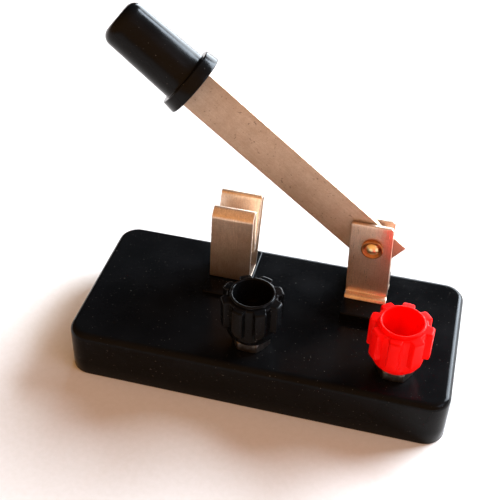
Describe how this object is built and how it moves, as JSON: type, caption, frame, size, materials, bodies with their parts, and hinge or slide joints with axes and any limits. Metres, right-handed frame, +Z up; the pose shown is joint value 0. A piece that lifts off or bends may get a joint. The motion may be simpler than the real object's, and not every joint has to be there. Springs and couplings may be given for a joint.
{
  "type": "knife switch",
  "caption": "Open knife blade switch: hinged flat blade with a round grip, folded spring clip, moulded base and screw-down binding posts.",
  "frame": {"origin": "bottom centre of the base, on the plane it stands on", "axes": "+X along the base from the spring clip to the hinge, +Y away from the binding posts, +Z up"},
  "size_m": [0.08, 0.038, 0.0728],
  "materials": {
    "black_plastic": "glossy moulding",
    "red_plastic": "glossy moulding",
    "nickel_strip": "warm satin plating",
    "rivet_brass": "polished",
    "copper": "dull",
    "zinc_steel": "zinc plated"
  },
  "bodies": {
    "base": {"base_shell": "black_plastic", "jaw_clip": "nickel_strip", "jaw_screw": "zinc_steel", "jaw_washer": "zinc_steel", "jaw_nut": "zinc_steel", "cheek_front": "nickel_strip", "cheek_back": "nickel_strip", "pivot_rivet": "rivet_brass", "pivot_washer_front": "copper", "pivot_washer_back": "copper", "black_stud": "rivet_brass", "black_seat_nut": "nickel_strip", "black_lower_washer": "zinc_steel", "black_lower_nut": "zinc_steel", "red_stud": "rivet_brass", "red_seat_nut": "nickel_strip", "red_lower_washer": "zinc_steel", "red_lower_nut": "zinc_steel", "jaw_strap": "copper", "hinge_strap": "copper"},
    "arm": {"blade": "nickel_strip", "handle": "black_plastic"},
    "black_carrier": {"black_insert": "rivet_brass"},
    "black_knob": {"black_cap": "black_plastic"},
    "red_carrier": {"red_insert": "rivet_brass"},
    "red_knob": {"red_cap": "red_plastic"}
  },
  "joints": [
    {"name": "blade_hinge", "type": "hinge", "parent": "base", "child": "arm", "pos_m": [0.0191, 0.0088, 0.0266], "axis": [0, 1, 0], "range_deg": [-38.4, 156.6]},
    {"name": "black_cap_lift", "type": "slide", "parent": "base", "child": "black_carrier", "axis": [0, 0, 1], "range_m": [0, 0.0021]},
    {"name": "black_cap_turn", "type": "hinge", "parent": "black_carrier", "child": "black_knob", "pos_m": [-0.0019, -0.0108, 0.02], "axis": [0, 0, 1], "range_deg": [0, 1081]},
    {"name": "red_cap_lift", "type": "slide", "parent": "base", "child": "red_carrier", "axis": [0, 0, 1], "range_m": [0, 0.0021]},
    {"name": "red_cap_turn", "type": "hinge", "parent": "red_carrier", "child": "red_knob", "pos_m": [0.028, -0.0108, 0.02], "axis": [0, 0, 1], "range_deg": [0, 1081]}
  ],
  "couplings": [
    {"joint": "black_cap_turn", "follows": "black_cap_lift", "rad_per_m": 8976},
    {"joint": "red_cap_turn", "follows": "red_cap_lift", "rad_per_m": 8976}
  ]
}
